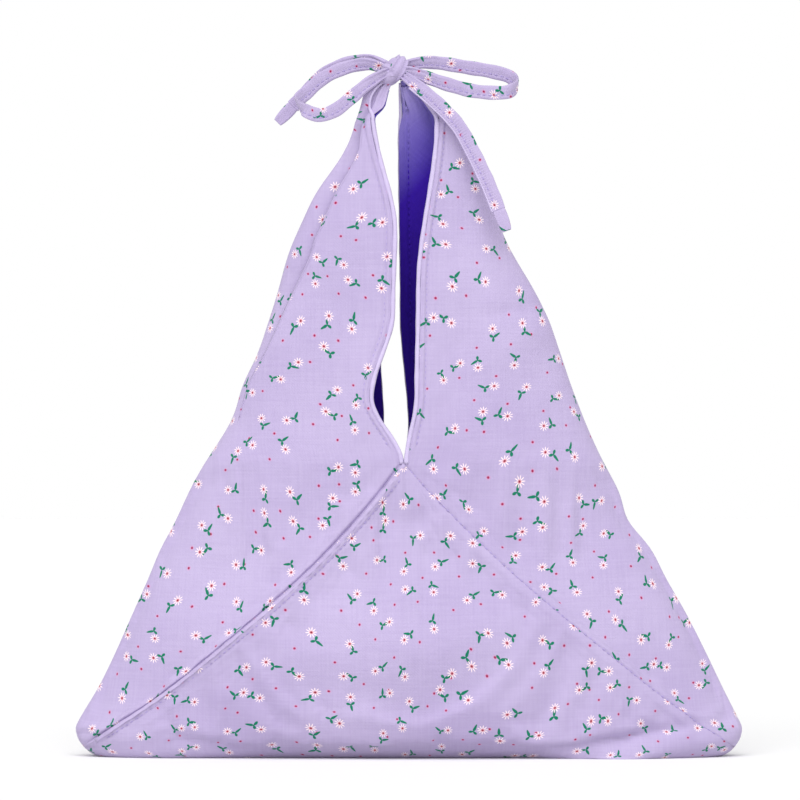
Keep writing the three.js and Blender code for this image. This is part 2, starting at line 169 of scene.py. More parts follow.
def makeCotton(name, light, deep, sheen):
    finish = {"IOR": 1.46, "Specular IOR Level": 0.25, "Sheen Weight": sheen, "Sheen Roughness": 0.5}
    material, tree, shader = newMaterial(name, finish)
    flat = flatPlace(tree)
    return material, tree, shader, flat, weaveCloth(tree, shader, flat, light, deep)


printedCotton, tree, shader, flat, ground = makeCotton("printedCotton", "#B4A7C9", "#AA9CC1", 0.12)
tree.links.new(printFlowers(tree, flat, ground), shader.inputs["Base Color"])
# Plain unprinted cloth for the rolled slit edges, paler than the print's ground; on the right tail's fold rib
# the same paleness is a painted highlight
plainCottonAndPaintedHighlight, tree, shader, flat, ground = makeCotton("plainEdgeCottonAndPaintedHighlight", "#C6BADA", "#BBAED1", 0.12)
tree.links.new(ground, shader.inputs["Base Color"])
# Painted shade: the lining's violet is deep inside the bag and pales toward the knot, by height on the flat
# cloth; the pale end is the lining's own lilac, the deep end stands for the shade in the bag's hollow
liningPaintedShade = {"deepBelow": 316, "paleAbove": 366, "deep": "#421AB4", "pale": "#B6AADF"}
liningCotton, tree, shader, flat, ground = makeCotton("liningCotton", "#FFFFFF", "#EAE6F4", 0.05)
height = addNode(tree, "SeparateXYZ", {0: flat})[1]
# painted shade: deep violet low in the bag, fading to the pale lilac near the knot
paling = addNode(tree, "MapRange", {0: height, 1: liningPaintedShade["deepBelow"], 2: liningPaintedShade["paleAbove"]})[0]
dyesAndPaintedShade = {0: paling, 6: linear(liningPaintedShade["deep"]), 7: linear(liningPaintedShade["pale"])}
violet = addNode(tree, "Mix", dyesAndPaintedShade, data_type="RGBA")[2]
liningWithPaintedShade = addNode(tree, "Mix", {0: 1.0, 6: ground, 7: violet}, data_type="RGBA", blend_type="MULTIPLY")[2]
tree.links.new(liningWithPaintedShade, shader.inputs["Base Color"])

# Spun polyester thread: a slight gloss, with the twist of its strands drawn coarse enough to show
thread = {"light": "#AEA0CC", "deep": "#9383BC", "twist": 0.8, "wander": 0.4, "relief": 0.0001,
          "finish": {"Roughness": 0.55, "IOR": 1.5, "Sheen Weight": 0.1}}
sewingThread, tree, shader = newMaterial("sewingThread", thread["finish"])
twist = {"Vector": flatPlace(tree), "Scale": 1 / thread["twist"], "Distortion": thread["wander"]}
strands = addNode(tree, "TexWave", twist, wave_type="BANDS", bands_direction="DIAGONAL")[1]
dyesAndPaintedShade = {0: strands, 6: linear(thread["light"]), 7: linear(thread["deep"])}
tree.links.new(addNode(tree, "Mix", dyesAndPaintedShade, data_type="RGBA")[2], shader.inputs["Base Color"])
strandBump = addNode(tree, "Bump", {"Height": strands, "Strength": 0.4, "Distance": thread["relief"]})[0]
tree.links.new(strandBump, shader.inputs["Normal"])
print("materials made")


def addObject(name, data):
    thing = bpy.data.objects.new(name, data)
    bpy.context.scene.collection.objects.link(thing)
    return thing


studioCamera = {"at": (-5, -3000, 178.7), "field": 401.6, "sensor": 36}
cameraData = bpy.data.cameras.new("studioCamera")
cameraData.sensor_width = studioCamera["sensor"]
cameraData.lens = studioCamera["sensor"] * -studioCamera["at"][1] / studioCamera["field"]
camera = addObject("studioCamera", cameraData)
camera.location = [v * metre for v in studioCamera["at"]]
camera.rotation_euler = (math.pi / 2, 0, 0)
bpy.context.scene.camera = camera


def unit(vectors):
    return vectors / np.maximum(np.linalg.norm(vectors, axis=-1, keepdims=True), 1e-9)


def clamp(value):
    return np.clip(value, 0, 1)


def eased(share):
    return share * share * (3 - 2 * share)


def hump(away, width):
    return np.exp(-(away / width) ** 2)


def blunt(wave, power):  # a wave with fuller crests
    return np.sign(wave) * np.abs(wave) ** power


def turnsOf(count):
    return np.arange(count) / count * tau


def stacked(*parts):
    return np.stack(np.broadcast_arrays(*parts), -1)


def alongOf(points):  # how far along a line each of its points is
    return np.concatenate([[0], np.cumsum(np.linalg.norm(np.diff(points, axis=0), axis=1))])


def readOff(at, along, points):
    return np.stack([np.interp(at, along, points[:, i]) for i in range(3)], -1)


def gridFaces(rows, columns, start=0, ring=False):
    faces = []
    for row in range(rows - 1):
        for column in range(columns if ring else columns - 1):
            low, after = start + row * columns, (column + 1) % columns
            faces.append((low + column, low + after, low + columns + after, low + columns + column))
    return faces


def addPiece(name, points, faces, flat, material, body, nodes, slot, weld=0, sheet=False):
    mesh = bpy.data.meshes.new(name)
    mesh.from_pydata((np.asarray(points).reshape(-1, 3) * metre).tolist(), [], faces)
    stored = mesh.attributes.new("cloth", "FLOAT_VECTOR", "POINT")
    stored.data.foreach_set("vector", (np.asarray(flat, float).reshape(-1, 3) * metre).ravel())
    for one in material if isinstance(material, list) else [material]:
        mesh.materials.append(one)
    work = bmesh.new()
    work.from_mesh(mesh)
    if weld:
        bmesh.ops.remove_doubles(work, verts=work.verts, dist=weld * metre)
    if not sheet:
        bmesh.ops.recalc_face_normals(work, faces=work.faces)
    for face in work.faces:
        face.smooth = True
    for edge in work.edges:
        edge.smooth = not edge.is_boundary  # a cut edge is sharp once the cloth is thick
    work.to_mesh(mesh)
    work.free()
    piece = addObject(name, mesh)
    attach(piece, body)
    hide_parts(*nodes)
    return piece


def addStitches(prefix, node, rows, body="bag", material=sewingThread):
    return addPiece(prefix + node + "_stitches", *rows, material, body, [node + "_stitching"], "thread")


# A bar along a line: the section's points are given across the line and out from it
def sweep(centres, across, out, sections, closed=False):
    count = len(centres)
    sections = np.broadcast_to(sections, (count,) + np.shape(sections)[-2:])
    points = centres[:, None] + across[:, None] * sections[..., :1] + out[:, None] * sections[..., 1:]
    sides = points.shape[1]
    last = (count - 1) * sides
    faces = gridFaces(count, sides, ring=True)
    if closed:
        faces += [(last + i, last + (i + 1) % sides, (i + 1) % sides, i) for i in range(sides)]
    else:
        faces += [tuple(range(sides)), tuple(range(last, last + sides))]
    around = np.cumsum(np.linalg.norm(sections - np.roll(sections, 1, axis=1), axis=-1), axis=1)
    flat = stacked(around, alongOf(centres)[:, None], 0.0)
    return points.reshape(-1, 3), faces, flat.reshape(-1, 3)


def roundSection(radius, sides=10):
    turns = turnsOf(sides)
    return stacked(radius * np.cos(turns), radius * np.sin(turns))


# Lockstitch: a row of short rounded stitches along a line on the cloth
stitch = {"first": 0.4, "pitch": 3.0, "length": 2.35, "radius": 0.34, "sink": 0.05, "rings": 7, "sides": 7,
          "arch": 0.9, "bedded": 0.5}


def stitchRow(line, out):
    along = alongOf(line)
    share = np.linspace(0, 1, stitch["rings"])
    turns = turnsOf(stitch["sides"])
    points, faces, flat = [], [], []
    for start in np.arange(stitch["first"], along[-1] - stitch["length"], stitch["pitch"]):
        at = start + share * stitch["length"]
        centre = readOff(at, along, line)
        up = unit(readOff(at, along, out))
        side = unit(np.cross(up, unit(np.gradient(centre, axis=0))))
        arch = np.sin(np.pi * share)
        thick = stitch["radius"] * np.maximum(arch, 0.02) ** 0.4
        lift = stitch["radius"] * (arch * stitch["arch"] - stitch["bedded"]) - stitch["sink"]
        ring = (centre + up * lift[:, None])[:, None] + thick[:, None, None] * (
            side[:, None] * np.cos(turns)[None, :, None] + up[:, None] * np.sin(turns)[None, :, None])
        first = len(points) * stitch["rings"] * stitch["sides"]
        last = first + (stitch["rings"] - 1) * stitch["sides"]
        faces += gridFaces(stitch["rings"], stitch["sides"], first, ring=True)
        faces += [tuple(range(end, end + stitch["sides"])) for end in (first, last)]
        points.append(ring.reshape(-1, 3))
        flat.append(stacked(turns[None, :] * stitch["radius"], at[:, None], 0.0).reshape(-1, 3))
    return np.concatenate(points), faces, np.concatenate(flat)


def joined(parts):  # several sets of points, faces and flat places as one
    points, faces = [], []
    for own, ownFaces, _ in parts:
        first = sum(len(p) for p in points)
        faces += [tuple(i + first for i in face) for face in ownFaces]
        points.append(own)
    return np.concatenate(points), faces, np.concatenate([part[2] for part in parts])


# Bow. Routes are places in X and Z from the middle of the knot, as in the part's source.
bow = {
    "knot": (-7, 0, 344), "radius": 6.3, "halfDepth": 5, "touch": 0.3, "width": 7, "thick": 1.5, "seat": 3.4,
    "spread": 7, "drawnIn": (0.62, 0.7, 0.62), "tailLean": 0.15, "tailSeat": 14, "stitchInset": 2.2,
    "steps": 300,
}
loops = {
    "left": {
        "route": [(-6, 1.4), (-13, 3.4), (-21, 3), (-30, 0.2), (-38, -4.3), (-44.5, -10.3), (-49.3, -15.2),
                  (-46.5, -19.6), (-38.5, -22.6), (-30.5, -20.2), (-22, -13.5), (-13.8, -6.5), (-6.3, -1.8)],
        "axis": (-0.4, 0, 0.9), "print": (310, 40),
    },
    "right": {
        "route": [(6, 3), (13, 4.3), (22, 4.2), (36, 2), (48, 0), (57, -2.6), (60.6, -7.4),
                  (56, -11), (48, -11.4), (37.5, -10.3), (27, -7.6), (16.5, -3.9), (6.5, -0.5)],
        "axis": (0.1, 0, 1), "print": (420, 90),
    },
}
tails = {
    "left": {"route": [(-2, 1.5), (-12, 5.2), (-21, 5), (-30, 2.2), (-38, -2.6), (-45, -10), (-52, -17.2)],
             "axis": (-0.3, 0, 0.95), "turn": 1, "print": (530, 10), "rib": 0.0},
    "right": {"route": [(3, -1.5), (9.5, -7), (16.5, -13), (24, -19.9), (31.5, -28.5), (36.5, -37.2),
                        (46, -57), (51.3, -70.5)],
              "axis": (0.78, 0, 0.6), "turn": -1, "print": (640, 70), "rib": 0.55},
}
# A tie is cloth folded to a flat tape and stitched near one edge: a shallow ditch with fine puckers,
# and gathers where the knot draws it together
tieForm = {"sides": 36, "pinched": 8, "drawn": 14, "ditch": 0.42, "ditchWidth": 0.55, "pucker": 0.2,
           "puckerPitch": 1.3, "puckerWidth": 2.6, "gather": 0.75, "narrowed": 0.36, "ribFrom": 30,
           "stitched": slice(18, -14), "stitchLift": 0.3}
hemForm = {"length": 11, "steps": 24, "extra": 0.7, "wider": 0.2, "taper": 0.22,
           "folds": ((0.7, 0.15, 0.16), (0.4, -0.5, 0.12))}
knotCentre = np.array(bow["knot"], float)


def smoothRoute(points, steps):  # a curve through the points, cut into even steps
    points = np.asarray(points, float)
    points = np.concatenate([[2 * points[0] - points[1]], points, [2 * points[-1] - points[-2]]])
    made = []
    for a, b, c, d in zip(points, points[1:], points[2:], points[3:]):
        ends = np.cumsum([0] + [math.sqrt(np.linalg.norm(q - p)) for p, q in ((a, b), (b, c), (c, d))])
        t = np.linspace(ends[1], ends[2], 24, endpoint=False)[:, None]
        mix = lambda p, q, i, j: (p * (ends[j] - t) + q * (t - ends[i])) / (ends[j] - ends[i])
        ab, bc, cd = mix(a, b, 0, 1), mix(b, c, 1, 2), mix(c, d, 2, 3)
        made.append(mix(mix(ab, bc, 0, 2), mix(bc, cd, 1, 3), 1, 2))
    made = np.concatenate(made + [points[-2:-1]])
    along = alongOf(made)
    return readOff(np.linspace(0, along[-1], steps + 1), along, made)


def tieFrame(path, axis):
    ahead = unit(np.gradient(path, axis=0))
    across = unit(np.asarray(axis, float) - ahead * (ahead @ np.asarray(axis, float))[:, None])
    return across, np.cross(across, ahead)


def tieSection(path, pinch):
    form, half = tieForm, bow["width"] / 2
    turns = turnsOf(form["sides"])
    side, lift = blunt(np.cos(turns), 0.6), blunt(np.sin(turns), 0.7)
    along = alongOf(path)[:, None]
    near, drawn = [np.exp(-along / reach) * pinch[0] + np.exp(-(along[-1] - along) / reach) * pinch[1]
                   for reach in (form["pinched"], form["drawn"])]
    fromStitch = side * half + half - bow["stitchInset"]
    ditch = form["ditch"] * hump(fromStitch, form["ditchWidth"])
    beat = np.sin(along * tau / form["puckerPitch"] + 0.8 * np.sin(along * 0.9))
    pucker = form["pucker"] * beat * hump(fromStitch, form["puckerWidth"])
    gather = drawn * (form["gather"] * np.cos(side * 2.6 * math.pi + 0.9 * np.sin(along * 0.3)) + 0.2)
    widths = half * (1 - form["narrowed"] * near) * (1 + 0.03 * np.sin(along * 0.55))
    thicks = bow["thick"] / 2 * (1 + 0.06 * np.sin(along * 0.9) + 0.5 * near)
    return stacked(widths * side, thicks * lift * (1 - ditch + pucker + gather))


def addTie(path, tie, body, pinch, rib=0.0):
    across, out = tieFrame(path, tie["axis"])
    tape = sweep(path, across, out, tieSection(path, pinch))
    parts = [tape]
    if rib:  # the folded edge stands out as a fine rib, in the paler plain cloth as a painted highlight along the fold
        on = slice(tieForm["ribFrom"], None)
        edge = path[on] - across[on] * (bow["width"] / 2 - 0.1)
        parts.append(sweep(edge, across[on], out[on], roundSection(rib)))
    points, faces, flat = joined(parts)
    flat = flat + [*tie["print"], 0]
    cotton = [printedCotton, plainCottonAndPaintedHighlight]
    piece = addPiece("bow_" + body, points, faces, flat, cotton, body, [body], "printed_cotton")
    # painted highlight: the rib takes the paler plain cloth, for the light that the fold's edge catches
    for polygon in piece.data.polygons[len(tape[1]):]:
        polygon.material_index = 1
    on = tieForm["stitched"]
    line = path[on] + across[on] * (bow["stitchInset"] - bow["width"] / 2)
    lift = bow["thick"] * tieForm["stitchLift"]
    rows = [stitchRow(line + up * lift, up) for up in (out[on], -out[on])]
    return piece, addStitches("bow_", body, joined(rows), body)


for side, loop in loops.items():
    last = len(loop["route"]) - 1
    route = []
    for index, (x, z) in enumerate(loop["route"]):
        inward = min(index, last - index)
        depth = np.sign(last / 2 - index) * (bow["seat"] if inward < 2 else bow["spread"])
        scale = (bow["radius"] + bow["touch"]) / math.hypot(x, z) if inward == 0 else 1
        route.append((x * scale, depth, z * scale))
    drawnIn = np.array(bow["drawnIn"])  # the tape runs on a little way into the knot
    route = [route[0] * drawnIn] + route + [route[-1] * drawnIn]
    path = smoothRoute(np.array(route) + knotCentre, bow["steps"])
    piece, stitches = addTie(path, loop, side + "_loop", (1, 1))

for side, tail in tails.items():
    seat = bow["halfDepth"] + bow["touch"] + bow["thick"] / 2
    route = []
    for x, z in tail["route"]:
        reach = math.hypot(x, z)
        depth = seat * min(max(reach / bow["tailSeat"], 0.3), 1) + bow["tailLean"] * reach
        route.append((x, tail["turn"] * depth, z))
    path = smoothRoute(np.array(route) + knotCentre, bow["steps"])
    body = side + "_tail"
    piece, stitches = addTie(path, tail, body, (1, 0), tail["rib"])
    across, out = tieFrame(path, tail["axis"])
    ahead = unit(path[-1] - path[-2])
    # The end is folded back on itself, so it is thicker and shows its open folds
    share = np.linspace(0, 1, hemForm["steps"])
    hemPath = path[-1] + ahead * (share[:, None] * (hemForm["length"] + bow["touch"]))
    turns = turnsOf(tieForm["sides"])
    fullness = np.maximum(np.sin(np.pi * clamp(share * 0.9 + 0.06)), 0.05)[:, None] ** 0.12
    spread = blunt(np.cos(turns), 0.5)
    openFolds = sum(deep * hump(spread - at, width) for deep, at, width in hemForm["folds"])
    crown = blunt(np.sin(turns), 0.6) * (1 - openFolds)
    taper = (1 - hemForm["taper"] * share)[:, None] * fullness
    section = stacked(taper * (bow["width"] + hemForm["wider"]) / 2 * spread,
                      fullness * (bow["thick"] + hemForm["extra"]) / 2 * crown)
    hold = np.ones((len(share), 1))
    points, faces, flat = sweep(hemPath, across[-1] * hold, out[-1] * hold, section)
    flat = flat + [tail["print"][0] + 9, 7, 0]
    hem = addPiece("bow_" + body + "_end", points, faces, flat, printedCotton, body, [body + "_hem"],
                   "printed_cotton")
print("bow loops and tails made")

# Body of the bag: the sizes of the part's source, but the seams' bow and corners and the set of the cloth
# are those that the photo shows
bag = {
    "baseWidth": 330, "bodyDepth": 76, "baseRoll": 15, "baseTuck": 11, "cornerHeight": 4.5, "neckHeight": 320,
    "neckWidth": 50, "neckDepth": 16, "depthTaper": 1.5, "waistDraw": 6, "waistHeight": 168, "waistSpan": 40,
    "sways": ((-5.5, 258, 24), (-3.4, 140, 26)),
    "footHeight": 147, "footX": -3, "seamBow": (14, 9.5), "seamSlope": 0.68,
    "outerCloth": 0.8, "liningDepth": 1.0, "liningCloth": 0.7,
    "edgeRoll": 1.15, "rimInset": 2.3, "liningInset": 0.5, "edgeDepth": 0.3, "edgeStitch": 5.3,
    "lapStitch": 2.75,
    "underDraw": 12, "underHeight": 60, "underMiddle": -12, "underSpan": 100, "cornerFill": 0.75,
}
slitEdges = {
    "front_left": [(0, -3), (0.19, -18), (0.44, -7.4), (0.67, -6.3), (1, -17)],
    "front_right": [(0, -3), (0.2, 2.2), (0.5, 3), (1, 12.5)],
    "back_left": [(0, -3), (0.12, -13), (0.3, -14.5), (1, -18)],
    "back_right": [(0, -3), (0.1, -1), (0.44, -5.2), (1, -6.2)],
}
# Dents and swellings of the side folds: side, height, half length, and how far in
sideDents = ((1, 118, 11, 5.0), (1, 92, 14, 1.5), (1, 13, 14, -1.5), (-1, 186, 13, -3.0), (-1, 283, 14, -2.6),
             (-1, 318, 10, -1.6), (-1, 13, 14, -2.4), (-1, 104, 12, -1.3))
edgeTurns = {"front_left": (-1, 1), "front_right": (1, 1), "back_left": (-1, -1), "back_right": (1, -1)}
sides = {"left": -1, "right": 1}
folds = {-1: math.pi, 1: 0.0}  # the angle of each side's fold


def rollTuck(height):
    return bag["baseTuck"] * (1 - np.sqrt(1 - clamp(1 - height / bag["baseRoll"]) ** 2))


def bagSection(height):
    rise = clamp((height - bag["baseRoll"]) / (bag["neckHeight"] - bag["baseRoll"]))
    tuck = rollTuck(height)
    waist = bag["waistDraw"] * hump(height - bag["waistHeight"], bag["waistSpan"])
    halfWidth = (bag["baseWidth"] + (bag["neckWidth"] - bag["baseWidth"]) * rise) / 2 - waist - tuck
    taper = rise ** bag["depthTaper"]
    halfDepth = (bag["bodyDepth"] + (bag["neckDepth"] - bag["bodyDepth"]) * taper) / 2 - tuck
    return halfWidth, halfDepth, sum(reach * hump(height - at, spread) for reach, at, spread in bag["sways"])


def sectionX(angle, height):
    halfWidth, _, sway = bagSection(height)
    return sway + halfWidth * np.cos(angle)


def skinPoint(angle, height):  # angle 0 is the right side, a quarter turn the front, a half turn the left
    x = sectionX(angle, height)
    for side, at, length, reach in sideDents:
        x = x - side * reach * hump(height - at, length) * clamp(side * np.cos(angle)) ** 4
    return stacked(x, -bagSection(height)[1] * np.sin(angle), height)


def frontAngle(x, height, onward=0):
    halfWidth, halfDepth, sway = bagSection(height)
    angle = np.arccos(np.clip((x - sway) / halfWidth, -1, 1))
    pace = np.hypot(halfWidth * np.sin(angle), halfDepth * np.cos(angle))
    return np.clip(angle + onward / np.maximum(pace, 0.5), 0, math.pi)


def seamX(side, share):
    corner = side * bagSection(np.float64(bag["cornerHeight"]))[0]
    curve = side * bag["seamBow"][side > 0] * 4 * share * (1 - share)
    return bag["footX"] + (corner - bag["footX"]) * share - curve


def seamHeight(share):
    return bag["footHeight"] + (bag["cornerHeight"] - bag["footHeight"]) * share


def seamShare(height):
    return clamp((bag["footHeight"] - height) / (bag["footHeight"] - bag["cornerHeight"]))


def slitX(edge, share):
    share = clamp(share)
    shares, places = np.array(slitEdges[edge]).T
    index = np.clip(np.searchsorted(shares, share), 1, len(shares) - 1)
    part = clamp((share - shares[index - 1]) / (shares[index] - shares[index - 1]))
    return places[index - 1] + (places[index] - places[index - 1]) * eased(part)


def slitShare(height):
    return (height - bag["footHeight"]) / (bag["neckHeight"] - bag["footHeight"])


def slitHeight(share):
    return bag["footHeight"] + (bag["neckHeight"] - bag["footHeight"]) * share


# Soft folds of the cloth: face, middle in X and Z, turn in degrees, half width, half length, lift
softFolds = [
    (1, -36, 188, 85, 9, 72, -1.9), (1, -66, 190, 75, 9, 62, 1.5), (1, -24, 178, 83, 6, 46, 1.1),
    (1, 22, 192, 80, 9, 42, -1.4), (1, 58, 210, 30, 9, 22, 1.5), (1, 53, 224, 12, 3, 15, -1.1),
    (1, 88, 112, -48, 14, 26, -2.4), (1, 60, 146, -20, 13, 32, 1.5), (1, 126, 76, -58, 11, 34, 1.4),
    (1, -96, 122, 60, 14, 28, 1.3), (1, -73, 110, 35, 6, 26, -1.1), (1, -118, 62, 50, 12, 30, 1.0),
    (1, -20, 106, 92, 2.6, 30, 0.7), (1, -13, 104, 91, 2.4, 34, -0.7), (1, -5, 100, 90, 3, 38, 0.8),
    (1, 8, 98, 89, 2.6, 40, -0.8), (1, 15, 102, 87, 3, 34, 0.7), (1, 6.4, 124, 88, 0.8, 15, -0.45),
    (1, -10, 56, 0, 32, 96, 9.0), (1, 110, 11.5, 9.5, 3.0, 38, -3.8), (1, 118, 4, 8, 3.4, 40, 2.0),
    (1, -98, 7, -7, 3, 28, -1.2), (1, 40, 66, 22, 8, 40, 0.9), (1, -46, 62, -14, 7, 36, -0.8),
    (-1, 20, 120, 88, 4, 30, 1.0), (-1, -30, 110, 95, 5, 35, -0.9), (-1, 70, 80, 50, 12, 55, 1.5),
    (-1, -60, 70, -48, 12, 55, 1.5), (-1, 40, 210, 72, 7, 50, 1.2), (-1, -40, 205, -72, 7, 50, 1.2),
    (-1, 4, 56, -2, 32, 94, 8.0), (-1, -92, 11, -9, 3.4, 44, -2.0),
]
seamForm = {"ditch": 0.25, "ditchWidth": 0.9, "puff": 0.3, "puffAt": 6, "puffWidth": 4.5,
            "step": 0.85, "stepWidth": 2.45, "stepFade": 0.22, "trough": 1.5, "troughAt": 1.2,
            "troughWidth": 0.65, "lapDitch": 0.3, "lapDitchWidth": 0.6, "pucker": 0.22, "puckerPitch": 6.2,
            "puckerFade": 7, "length": 200}
edgeForm = {"ridge": 0.55, "ridgeAt": 3.9, "ridgeWidth": 1.0, "ditch": 0.65, "ditchAt": 5.4,
            "ditchWidth": 0.55, "neckGathers": 0.8, "neckCount": 11}


def broadLift(angle, height):  # the larger folds
    x, facing = sectionX(angle, height), np.sin(angle)
    lift = np.zeros_like(x)
    for face, atX, atZ, turn, width, length, reach in softFolds:
        c, s = math.cos(math.radians(turn)), math.sin(math.radians(turn))
        dx, dz = x - atX, height - atZ
        shows = clamp(face * facing * 4)
        lift += reach * shows * np.exp(-((dz * c - dx * s) / width) ** 2 - ((dx * c + dz * s) / length) ** 2)
    calm = 0.7 * clamp(height / 25)
    return lift + calm * np.sin(x * 0.055 + height * 0.031 + 1) * np.sin(height * 0.047 - x * 0.021 + facing)


def fineLift(angle, height):  # what the sewing does to the cloth beside seams and edges
    x, facing = sectionX(angle, height), np.sin(angle)
    lift = np.zeros_like(x)
    share, form = seamShare(height), seamForm
    low = clamp((bag["footHeight"] + 6 - height) / 12) * clamp((height - bag["cornerHeight"]) / 8)
    for side in (-1, 1):
        baseward = (x - seamX(side, share)) * bag["seamSlope"] * -side
        lapped = clamp(-side * facing * 6)  # left seam in front, right seam behind
        flat = -form["ditch"] * hump(baseward, form["ditchWidth"])
        flat = flat + form["puff"] * hump(np.abs(baseward) - form["puffAt"], form["puffWidth"])
        drop = np.exp(np.clip((baseward - form["stepWidth"]) / form["stepFade"], -30, 30))
        over = form["step"] * clamp(baseward + 1) / (1 + drop)
        over = over - form["lapDitch"] * hump(baseward - bag["lapStitch"], form["lapDitchWidth"])
        over = over - form["trough"] * hump(baseward + form["troughAt"], form["troughWidth"])
        beat = np.sin(share * form["length"] * tau / form["puckerPitch"] + 1.1 * np.sin(share * 31 + side))
        pucker = form["pucker"] * beat * np.exp(-np.abs(baseward) / form["puckerFade"])
        lift += low * (flat * (1 - lapped) + over * lapped + pucker)
    up, form = slitShare(height), edgeForm
    for edge, (side, face) in edgeTurns.items():
        inside = (x - slitX(edge, up)) * side
        shows = clamp(face * facing * 6) * clamp(up * 8)
        lift += shows * form["ridge"] * hump(inside - form["ridgeAt"], form["ridgeWidth"])
        lift -= shows * form["ditch"] * hump(inside - form["ditchAt"], form["ditchWidth"])
    nearNeck = clamp((up - 0.6) / 0.4) ** 2
    return lift + form["neckGathers"] * nearNeck * np.sin(angle * form["neckCount"] + 0.6)


def outOf(pointOf, angle, height, turn, step):  # the direction out of a surface
    around = pointOf(angle + turn, height) - pointOf(angle - turn, height)
    upward = pointOf(angle, height + step) - pointOf(angle, np.maximum(height - step, 0))
    return unit(np.cross(upward, around))


def skinOut(angle, height):
    return outOf(skinPoint, angle, height, 0.001, 0.05)


def drawUnder(points):  # the middle of the base is drawn in under the bag
    low = clamp(1 - points[..., 2] / bag["underHeight"]) ** 2
    middle = np.exp(-((points[..., 0] - bag["underMiddle"]) / bag["underSpan"]) ** 4)
    points[..., 1] -= np.sign(points[..., 1]) * bag["underDraw"] * low * middle
    tuck = rollTuck(points[..., 2])
    points[..., 1] *= 1 + bag["cornerFill"] * (1 - middle) * tuck / (bag["bodyDepth"] / 2 - tuck)
    return points


def setShape(angle, height):  # the bag's shape before the cloth settles
    return drawUnder(skinPoint(angle, height) + skinOut(angle, height) * broadLift(angle, height)[..., None])


# The cloth settles: a sheet of the bag's shape, a little larger than it, is simulated, held where it is sewn
settling = {"around": 250, "up": 112, "frames": 22, "most": 3.0,
            "cloth": {"vertex_group_mass": "sewn", "quality": 5, "mass": 0.1, "air_damping": 2,
                      "bending_stiffness": 0.6, "shrink_min": -0.022, "use_pressure": True,
                      "uniform_pressure_force": 0.25},
            "heldEnds": 8, "heldFold": 0.12, "heldSeam": 4, "heldEdge": 5}


def settleCloth():
    heights = np.linspace(1, bag["neckHeight"], settling["up"])
    angle, height = np.meshgrid(turnsOf(settling["around"]), heights)
    start = setShape(angle, height)
    x, facing = start[..., 0], np.sin(angle)
    ends, foot = settling["heldEnds"], bag["footHeight"]
    held = (height < ends) | (height > bag["neckHeight"] - ends) | (np.abs(facing) < settling["heldFold"])
    for side in (-1, 1):
        held |= (height < foot + 2) & (np.abs(x - seamX(side, seamShare(height))) < settling["heldSeam"])
    for edge, (side, face) in edgeTurns.items():
        beside = (x - slitX(edge, slitShare(height))) * side < settling["heldEdge"]
        held |= (height > foot - 2) & (face * facing > 0) & beside
    mesh = bpy.data.meshes.new("settling")
    faces = gridFaces(settling["up"], settling["around"], ring=True)
    mesh.from_pydata((start.reshape(-1, 3) * metre).tolist(), [], faces)
    sheet = addObject("settling", mesh)
    pins = sheet.vertex_groups.new(name="sewn")
    pins.add(np.flatnonzero(held.ravel()).tolist(), 1.0, "REPLACE")
    cloth = sheet.modifiers.new("settling", "CLOTH")
    for key, value in settling["cloth"].items():
        setattr(cloth.settings, key, value)
    cloth.point_cache.frame_end = settling["frames"]
    scene = bpy.context.scene
    for frameNumber in range(1, settling["frames"] + 1):
        scene.frame_set(frameNumber)
    settled = sheet.evaluated_get(bpy.context.evaluated_depsgraph_get()).data
    ended = np.empty(len(settled.vertices) * 3)
    settled.vertices.foreach_get("co", ended)
    bpy.data.objects.remove(sheet)
    scene.frame_set(1)
    moved = ended.reshape(start.shape) / metre - start
    reach = np.linalg.norm(moved, axis=-1, keepdims=True)
    return heights, moved * np.minimum(1, settling["most"] / np.maximum(reach, 1e-6))


settledHeights, settledMoves = settleCloth()
print("cloth settled, by up to", round(float(np.abs(settledMoves).max()), 2), "mm")


def settledMove(angle, height):
    across = np.mod(angle / tau, 1) * settling["around"]
    above = (height - settledHeights[0]) / (settledHeights[1] - settledHeights[0])
    above = np.clip(above, 0, settling["up"] - 1.001)
    i, j = above.astype(int), across.astype(int) % settling["around"]
    k = (j + 1) % settling["around"]
    u, v = (above - i)[..., None], (across - np.floor(across))[..., None]
    lower = settledMoves[i, j] * (1 - v) + settledMoves[i, k] * v
    return lower * (1 - u) + (settledMoves[i + 1, j] * (1 - v) + settledMoves[i + 1, k] * v) * u


def clothPoint(angle, height, depth=0.0):
    angle, height = np.broadcast_arrays(np.asarray(angle, float), np.asarray(height, float))
    lift = broadLift(angle, height) + fineLift(angle, height) - depth
    points = drawUnder(skinPoint(angle, height) + skinOut(angle, height) * lift[..., None])
    points = points + settledMove(angle, height)
    points[..., 2] = np.maximum(points[..., 2], 0.02)
    return points


def clothOut(angle, height):
    return outOf(clothPoint, angle, height, 0.003, 0.4)


def spreadColumns(marks, counts):  # places along a row, with a set number between each pair of marks
    parts = [np.linspace(a, b, n, endpoint=False) for a, b, n in zip(marks, marks[1:], counts)]
    return np.concatenate(parts + [[marks[-1]]])


def rowArcs(start, stop, height, count=360):  # angles along a row, and how far along it each is
    fine = np.linspace(start, stop, count)
    return fine, alongOf(skinPoint(fine, height))


def sideArcs(side, frontX, backX, height, inset, count=360):  # from the front edge to the back edge
    start = float(frontAngle(frontX, height, -side * inset))
    stop = 2 * folds[side] - float(frontAngle(backX, height, -side * inset))
    return rowArcs(start, stop, height, count)


